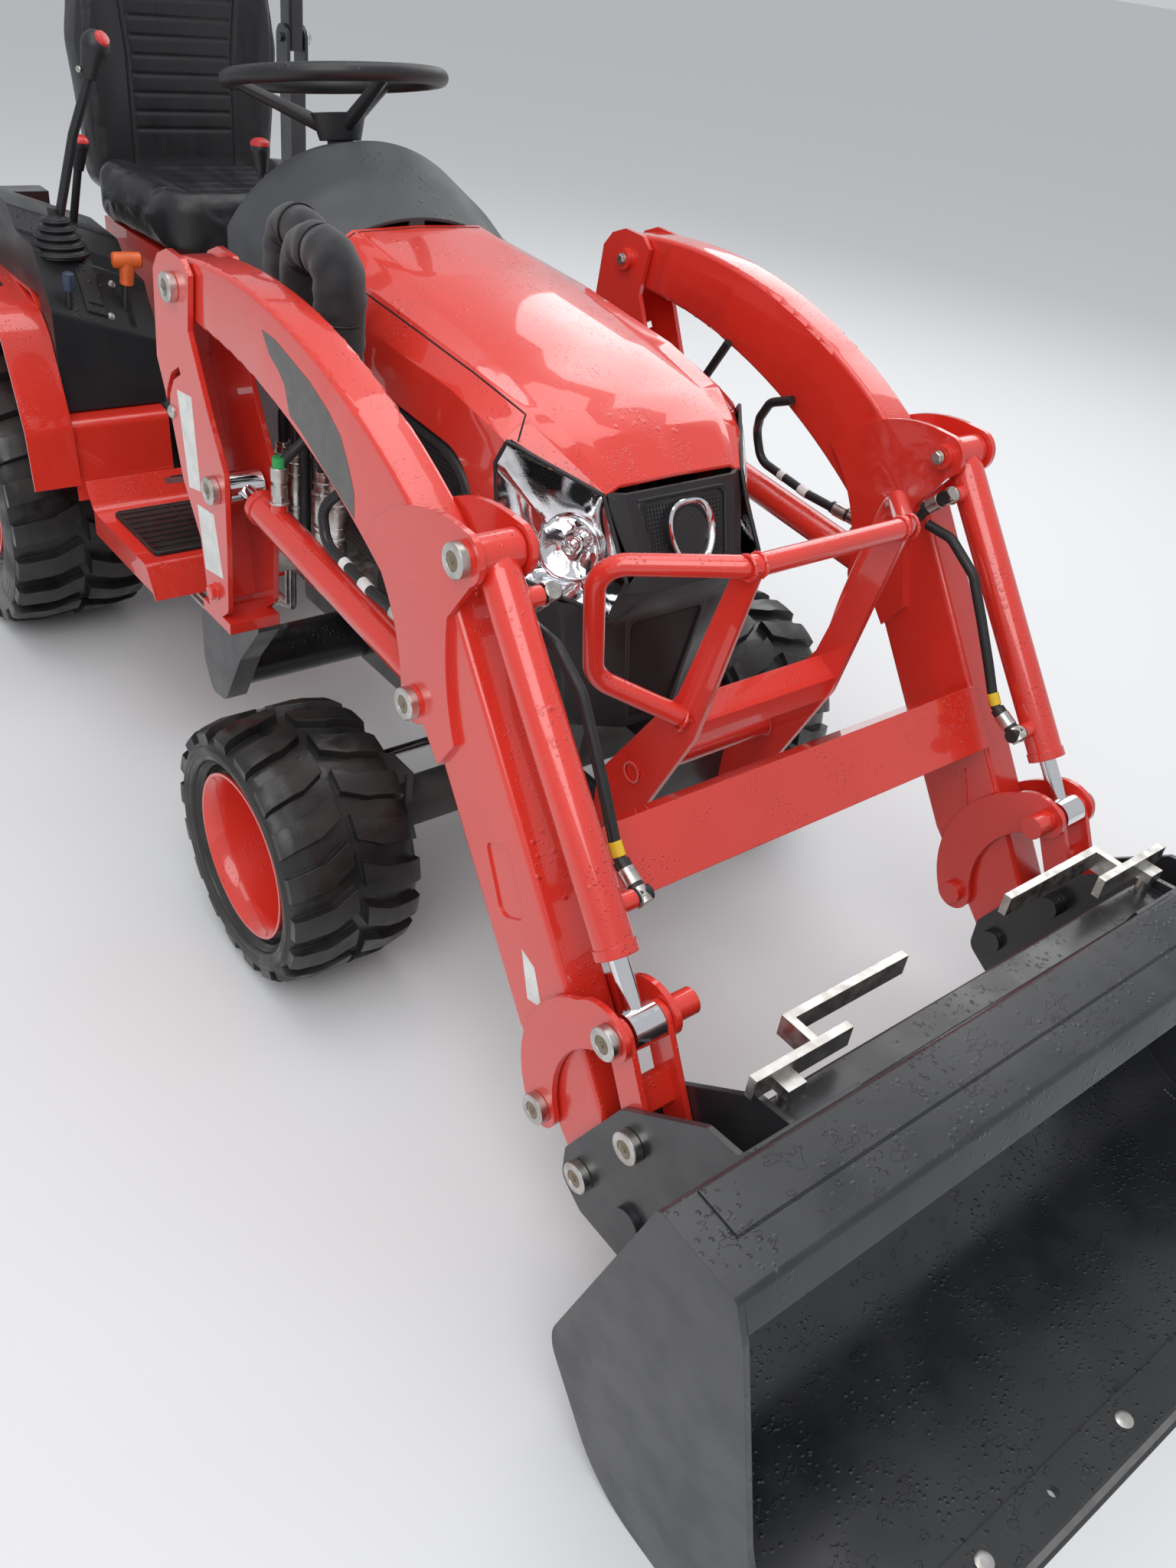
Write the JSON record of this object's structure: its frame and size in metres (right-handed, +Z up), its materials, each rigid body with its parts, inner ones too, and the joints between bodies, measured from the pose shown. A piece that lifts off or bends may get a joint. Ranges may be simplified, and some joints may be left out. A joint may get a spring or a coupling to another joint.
{
  "type": "sub-compact farm tractor with front loader",
  "caption": "Small four-wheel-drive farm tractor with a front loader and bucket, folding roll-over bar, opening hood and three-point hitch.",
  "frame": {"origin": "on the ground in the middle of the machine's length and width", "axes": "+X forward, +Y to the driver's left, +Z up"},
  "size_m": [3.4579, 1.274, 2.099],
  "materials": {
    "red_paint": "glossy",
    "black_paint": "satin",
    "cast_grey": "rough",
    "tyre": "matte",
    "chrome": "polished",
    "zinc": "satin",
    "charcoal_plastic": "matte",
    "black_plastic": "satin",
    "lamp_lens": "clear",
    "seat_vinyl": "satin",
    "rubber": "matte"
  },
  "bodies": {
    "chassis": {"front_axle": "cast_grey", "front_frame": "black_paint", "engine": "cast_grey", "radiator": "black_plastic", "transmission": "cast_grey", "rear_axle": "cast_grey", "masts": "red_paint", "loader_mount": "black_paint", "grille_guard": "red_paint", "floor": "red_paint", "floor_mats": "rubber", "fenders": "red_paint", "consoles": "black_plastic", "seat_frame": "red_paint", "seat_cushion": "seat_vinyl", "seat_back": "seat_vinyl", "dash_cowl": "charcoal_plastic", "steering_column": "black_plastic", "rops_posts": "black_paint", "top_link_bracket": "black_paint", "drawbar": "black_paint", "pto_shaft": "zinc", "control_levers": "black_plastic", "pedals": "black_paint", "steel_lines": "zinc", "quick_couplers": "zinc", "feed_hoses": "rubber"},
    "hood": {"hood": "red_paint", "nose_grille": "black_plastic", "headlamps": "lamp_lens", "side_vents": "black_plastic"},
    "steering_wheel": {"steering_wheel": "black_plastic"},
    "steering_rod": {"steering_rod": "chrome"},
    "knuckle_left": {"knuckle_left": "cast_grey"},
    "knuckle_right": {"knuckle_right": "cast_grey"},
    "front_wheel_left": {"front_tyre_left": "tyre", "front_rim_left": "red_paint"},
    "front_wheel_right": {"front_tyre_right": "tyre", "front_rim_right": "red_paint"},
    "rear_wheel_left": {"rear_tyre_left": "tyre", "rear_rim_left": "red_paint"},
    "rear_wheel_right": {"rear_tyre_right": "tyre", "rear_rim_right": "red_paint"},
    "boom": {"boom": "red_paint"},
    "lift_barrels": {"lift_barrels": "red_paint", "lift_hoses": "rubber"},
    "lift_rods": {"lift_rods": "chrome"},
    "tilt_barrels": {"tilt_barrels": "red_paint", "tilt_hoses": "rubber"},
    "tilt_rods": {"tilt_rods": "chrome"},
    "crescents": {"crescents": "red_paint"},
    "tilt_links": {"tilt_links": "red_paint"},
    "bucket": {"coupler": "black_paint", "coupler_levers": "zinc", "bucket": "black_paint"},
    "rops_hoop": {"rops_hoop": "black_paint"},
    "lower_links": {"lower_links": "black_paint"},
    "lift_arms": {"lift_arms": "black_paint"},
    "lift_rods_hitch": {"lift_rods_hitch": "zinc"}
  },
  "joints": [
    {"name": "steer_left", "type": "hinge", "parent": "chassis", "child": "knuckle_left", "pos_m": [0.282, 0.355, 0.23], "axis": [0, 0, 1], "range_deg": [-40, 40]},
    {"name": "steer_right", "type": "hinge", "parent": "chassis", "child": "knuckle_right", "pos_m": [0.282, -0.355, 0.23], "axis": [0, 0, 1], "range_deg": [-41, 41]},
    {"name": "steer_rod_slide", "type": "slide", "parent": "chassis", "child": "steering_rod", "axis": [0, 1, 0], "range_m": [-0.06775, 0.06775]},
    {"name": "front_left_roll", "type": "hinge", "parent": "knuckle_left", "child": "front_wheel_left", "pos_m": [0.282, 0.49, 0.23], "axis": [0, 1, 0], "continuous": true},
    {"name": "front_right_roll", "type": "hinge", "parent": "knuckle_right", "child": "front_wheel_right", "pos_m": [0.282, -0.49, 0.23], "axis": [0, 1, 0], "continuous": true},
    {"name": "rear_left_roll", "type": "hinge", "parent": "chassis", "child": "rear_wheel_left", "pos_m": [-1.116, 0.4405, 0.33], "axis": [0, 1, 0], "continuous": true},
    {"name": "rear_right_roll", "type": "hinge", "parent": "chassis", "child": "rear_wheel_right", "pos_m": [-1.116, -0.4405, 0.33], "axis": [0, 1, 0], "continuous": true},
    {"name": "steering_wheel_turn", "type": "hinge", "parent": "chassis", "child": "steering_wheel", "pos_m": [-0.492, 0, 1.26], "axis": [-0.2079, 0, 0.9781], "continuous": true},
    {"name": "hood_lift", "type": "hinge", "parent": "chassis", "child": "hood", "pos_m": [-0.18, 0, 1.088], "axis": [0, -1, 0], "range_deg": [0, 50]},
    {"name": "boom_lift", "type": "hinge", "parent": "chassis", "child": "boom", "pos_m": [-0.091, 0, 1.032], "axis": [0, -1, 0], "range_deg": [0, 68]},
    {"name": "lift_barrel_swing", "type": "hinge", "parent": "boom", "child": "lift_barrels", "pos_m": [0.621, 0, 0.693], "axis": [0, -1, 0], "range_deg": [-2.08, 0]},
    {"name": "lift_rod_slide", "type": "slide", "parent": "lift_barrels", "child": "lift_rods", "axis": [-0.995, 0, 0.1002], "range_m": [-0.0001, 0.33908]},
    {"name": "bucket_tilt", "type": "hinge", "parent": "boom", "child": "bucket", "pos_m": [1.083, 0, 0.218], "axis": [0, -1, 0], "range_deg": [-108, 22]},
    {"name": "crescent_swing", "type": "hinge", "parent": "boom", "child": "crescents", "pos_m": [0.983, 0, 0.253], "axis": [0, -1, 0], "range_deg": [-69.73, 14.2]},
    {"name": "tilt_link_swing", "type": "hinge", "parent": "crescents", "child": "tilt_links", "pos_m": [1.09, 0, 0.478], "axis": [0, -1, 0], "range_deg": [-6.73, 33.05]},
    {"name": "tilt_barrel_swing", "type": "hinge", "parent": "boom", "child": "tilt_barrels", "pos_m": [0.714, 0, 0.941], "axis": [0, -1, 0], "range_deg": [-3.08, 0.63]},
    {"name": "tilt_rod_slide", "type": "slide", "parent": "tilt_barrels", "child": "tilt_rods", "axis": [0.6304, 0, -0.7763], "range_m": [-0.05706, 0.27971]},
    {"name": "rops_fold", "type": "hinge", "parent": "chassis", "child": "rops_hoop", "pos_m": [-1.453, 0, 1.21], "axis": [0, -1, 0], "range_deg": [0, 130]},
    {"name": "hitch_lift", "type": "hinge", "parent": "chassis", "child": "lower_links", "pos_m": [-1.173, 0, 0.236], "axis": [0, 1, 0], "range_deg": [0, 35]},
    {"name": "lift_arm_swing", "type": "hinge", "parent": "chassis", "child": "lift_arms", "pos_m": [-1.166, 0, 0.52], "axis": [0, 1, 0], "range_deg": [0, 36]},
    {"name": "lift_rod_swing", "type": "hinge", "parent": "lift_arms", "child": "lift_rods_hitch", "pos_m": [-1.4416, 0, 0.52728], "axis": [0, 1, 0], "range_deg": [-36, 0]}
  ],
  "couplings": [
    {"joint": "steer_right", "follows": "steer_left", "ratio": 1},
    {"joint": "steer_rod_slide", "follows": "steer_left", "m_per_rad": -0.095},
    {"joint": "lift_barrel_swing", "follows": "boom_lift", "ratio": -0.03},
    {"joint": "lift_rod_slide", "follows": "boom_lift", "m_per_rad": 0.2842},
    {"joint": "crescent_swing", "follows": "bucket_tilt", "ratio": 0.633},
    {"joint": "tilt_link_swing", "follows": "bucket_tilt", "ratio": -0.3},
    {"joint": "tilt_barrel_swing", "follows": "bucket_tilt", "ratio": 0.028},
    {"joint": "tilt_rod_slide", "follows": "bucket_tilt", "m_per_rad": -0.1476},
    {"joint": "lift_arm_swing", "follows": "hitch_lift", "ratio": 1},
    {"joint": "lift_rod_swing", "follows": "hitch_lift", "ratio": -1}
  ]
}
